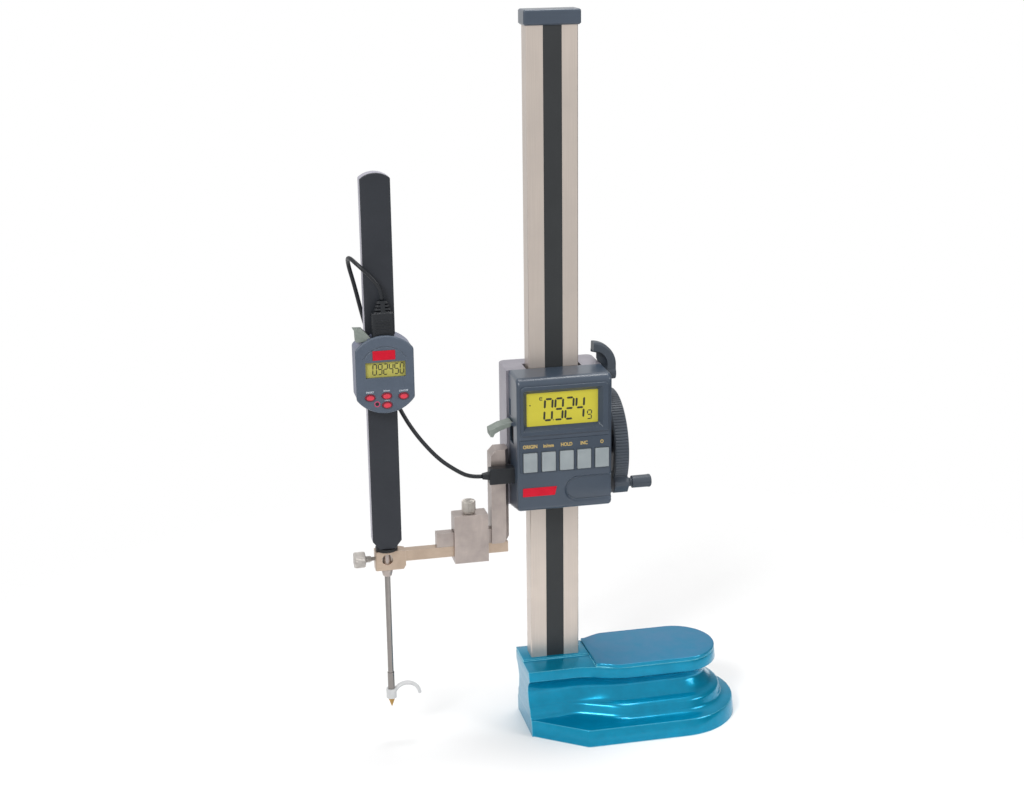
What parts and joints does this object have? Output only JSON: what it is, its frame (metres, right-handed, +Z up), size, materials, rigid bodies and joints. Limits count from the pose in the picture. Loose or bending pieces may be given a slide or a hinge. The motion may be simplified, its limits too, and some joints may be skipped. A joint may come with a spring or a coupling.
{
  "type": "digital height gauge",
  "caption": "Vertical height gauge: a display carriage with a handwheel climbs a column on a cast grip base, and its arm holds a long-travel indicator wired to the display.",
  "frame": {"origin": "underside of the base, straight below the column's axis", "axes": "+Z up the column, +X towards the handwheel and the base's round end, -Y towards the display's front"},
  "size_m": [0.4104, 0.1559, 0.752],
  "materials": {
    "base_paint": "glossy metallic enamel",
    "column_steel": "ground and brushed",
    "strip_dark": "satin",
    "housing_plastic": "fine-grained matt",
    "block_metal": "milled",
    "ground_steel": "ground",
    "dark_screws": "blackened",
    "bright_screws": "turned",
    "bronze": "turned",
    "pad_plastic": "waxy",
    "sensor_black": "matt",
    "lcd_yellow": "glossy display glass",
    "key_grey": "satin",
    "badge_red": "satin",
    "board_green": "solder-masked",
    "cell_steel": "plated",
    "wheel_plastic": "moulded satin",
    "cable_rubber": "matt",
    "flap_sage": "matt",
    "bar_tan": "ground, warm tint",
    "rod_chrome": "polished",
    "hook_white": "satin",
    "tip_brass": "turned",
    "indicator_charcoal": "satin",
    "indicator_silver": "anodised",
    "oval_red": "satin",
    "reset_black": "satin"
  },
  "bodies": {
    "base": {"base_casting": "base_paint", "column": "column_steel", "column_bolts": "bright_screws", "scale_strip": "strip_dark", "column_cap": "housing_plastic", "rack": "ground_steel"},
    "carriage": {"carriage_block": "block_metal", "guide_pads": "pad_plastic", "keeper_plate": "block_metal", "keeper_screws": "dark_screws", "reading_head": "sensor_black", "shaft_bush": "bronze", "display_case": "housing_plastic", "bezel_frame": "housing_plastic", "lcd_panel": "lcd_yellow", "keypad_frame": "housing_plastic", "circuit_board": "board_green", "battery_cell": "cell_steel", "badge_plate": "badge_red", "measuring_arm": "ground_steel", "arm_screws": "bright_screws", "main_plug": "cable_rubber", "data_cable": "cable_rubber"},
    "handwheel": {"handwheel": "wheel_plastic", "pinion_shaft": "bright_screws", "hub_screw": "bright_screws", "crank_pin": "bright_screws"},
    "crank_knob": {"crank_knob": "wheel_plastic"},
    "lock": {"lock_lever": "wheel_plastic", "lock_stud": "bright_screws"},
    "battery_cover": {"battery_cover": "housing_plastic"},
    "port_flap": {"port_flap": "flap_sage"},
    "holder": {"clamp_box": "ground_steel", "holder_bar": "bar_tan", "stem": "ground_steel", "ferrule": "ground_steel", "stem_collar": "dark_screws", "beam_housing": "indicator_silver", "beam_cover": "indicator_charcoal", "module_case": "indicator_silver", "module_fascia": "indicator_charcoal", "module_lcd": "lcd_yellow", "module_badge": "badge_red", "indicator_plug": "cable_rubber"},
    "clamp_screw": {"clamp_screw": "bright_screws"},
    "thumb_screw": {"thumb_screw": "bright_screws"},
    "module_flap": {"module_flap": "flap_sage"},
    "spindle": {"spindle": "rod_chrome", "lifting_hook": "hook_white", "cone_tip": "tip_brass"},
    "button_1": {"button_1": "key_grey"},
    "button_2": {"button_2": "key_grey"},
    "button_3": {"button_3": "key_grey"},
    "button_4": {"button_4": "key_grey"},
    "button_5": {"button_5": "key_grey"},
    "oval_button_1": {"oval_button_1": "oval_red"},
    "oval_button_2": {"oval_button_2": "oval_red"},
    "oval_button_3": {"oval_button_3": "oval_red"},
    "oval_button_4": {"oval_button_4": "oval_red"},
    "reset_button": {"reset_button": "reset_black"}
  },
  "joints": [
    {"name": "carriage_slide", "type": "slide", "parent": "base", "child": "carriage", "axis": [0, 0, 1], "range_m": [-0.03, 0.335]},
    {"name": "handwheel_spin", "type": "hinge", "parent": "carriage", "child": "handwheel", "pos_m": [0, 0.0174, 0.3035], "axis": [1, 0, 0], "continuous": true},
    {"name": "crank_knob_spin", "type": "hinge", "parent": "handwheel", "child": "crank_knob", "pos_m": [0.07, -0.02847, 0.27138], "axis": [1, 0, 0], "continuous": true},
    {"name": "lock_turn", "type": "hinge", "parent": "carriage", "child": "lock", "pos_m": [0.04, 0.005, 0.382], "axis": [1, 0, 0], "range_deg": [-30, 30]},
    {"name": "battery_cover_slide", "type": "slide", "parent": "carriage", "child": "battery_cover", "axis": [1, 0, 0], "range_m": [0, 0.03]},
    {"name": "port_flap_turn", "type": "hinge", "parent": "carriage", "child": "port_flap", "pos_m": [-0.0493, -0.0235, 0.3454], "axis": [0, 1, 0], "range_deg": [-58, 5]},
    {"name": "holder_slide", "type": "slide", "parent": "carriage", "child": "holder", "axis": [1, 0, 0], "range_m": [-0.012, 0.003], "deforming": ["data_cable"]},
    {"name": "clamp_screw_turn", "type": "hinge", "parent": "holder", "child": "clamp_screw", "pos_m": [-0.092, -0.015, 0.255], "axis": [0, 0, 1], "range_deg": [-180, 180]},
    {"name": "thumb_screw_turn", "type": "hinge", "parent": "holder", "child": "thumb_screw", "pos_m": [-0.2, -0.015, 0.2068], "axis": [1, 0, 0], "range_deg": [-180, 180]},
    {"name": "module_flap_turn", "type": "hinge", "parent": "holder", "child": "module_flap", "pos_m": [-0.192, -0.0305, 0.4445], "axis": [0, 1, 0], "range_deg": [0, 25]},
    {"name": "spindle_slide", "type": "slide", "parent": "holder", "child": "spindle", "axis": [0, 0, 1], "range_m": [0, 0.105]},
    {"name": "button_1_press", "type": "slide", "parent": "carriage", "child": "button_1", "axis": [0, 1, 0], "range_m": [0, 0.001], "stiffness_N_per_m": 400, "springref_m": -0.001},
    {"name": "button_2_press", "type": "slide", "parent": "carriage", "child": "button_2", "axis": [0, 1, 0], "range_m": [0, 0.001], "stiffness_N_per_m": 400, "springref_m": -0.001},
    {"name": "button_3_press", "type": "slide", "parent": "carriage", "child": "button_3", "axis": [0, 1, 0], "range_m": [0, 0.001], "stiffness_N_per_m": 400, "springref_m": -0.001},
    {"name": "button_4_press", "type": "slide", "parent": "carriage", "child": "button_4", "axis": [0, 1, 0], "range_m": [0, 0.001], "stiffness_N_per_m": 400, "springref_m": -0.001},
    {"name": "button_5_press", "type": "slide", "parent": "carriage", "child": "button_5", "axis": [0, 1, 0], "range_m": [0, 0.001], "stiffness_N_per_m": 400, "springref_m": -0.001},
    {"name": "oval_button_1_press", "type": "slide", "parent": "holder", "child": "oval_button_1", "axis": [0, 1, 0], "range_m": [0, 0.0008], "stiffness_N_per_m": 400, "springref_m": -0.001},
    {"name": "oval_button_2_press", "type": "slide", "parent": "holder", "child": "oval_button_2", "axis": [0, 1, 0], "range_m": [0, 0.0008], "stiffness_N_per_m": 400, "springref_m": -0.001},
    {"name": "oval_button_3_press", "type": "slide", "parent": "holder", "child": "oval_button_3", "axis": [0, 1, 0], "range_m": [0, 0.0008], "stiffness_N_per_m": 400, "springref_m": -0.001},
    {"name": "oval_button_4_press", "type": "slide", "parent": "holder", "child": "oval_button_4", "axis": [0, 1, 0], "range_m": [0, 0.0008], "stiffness_N_per_m": 400, "springref_m": -0.001},
    {"name": "reset_button_press", "type": "slide", "parent": "holder", "child": "reset_button", "axis": [0, 1, 0], "range_m": [0, 0.0008], "stiffness_N_per_m": 400, "springref_m": -0.001}
  ],
  "couplings": [
    {"joint": "handwheel_spin", "follows": "carriage_slide", "rad_per_m": 111.11}
  ]
}
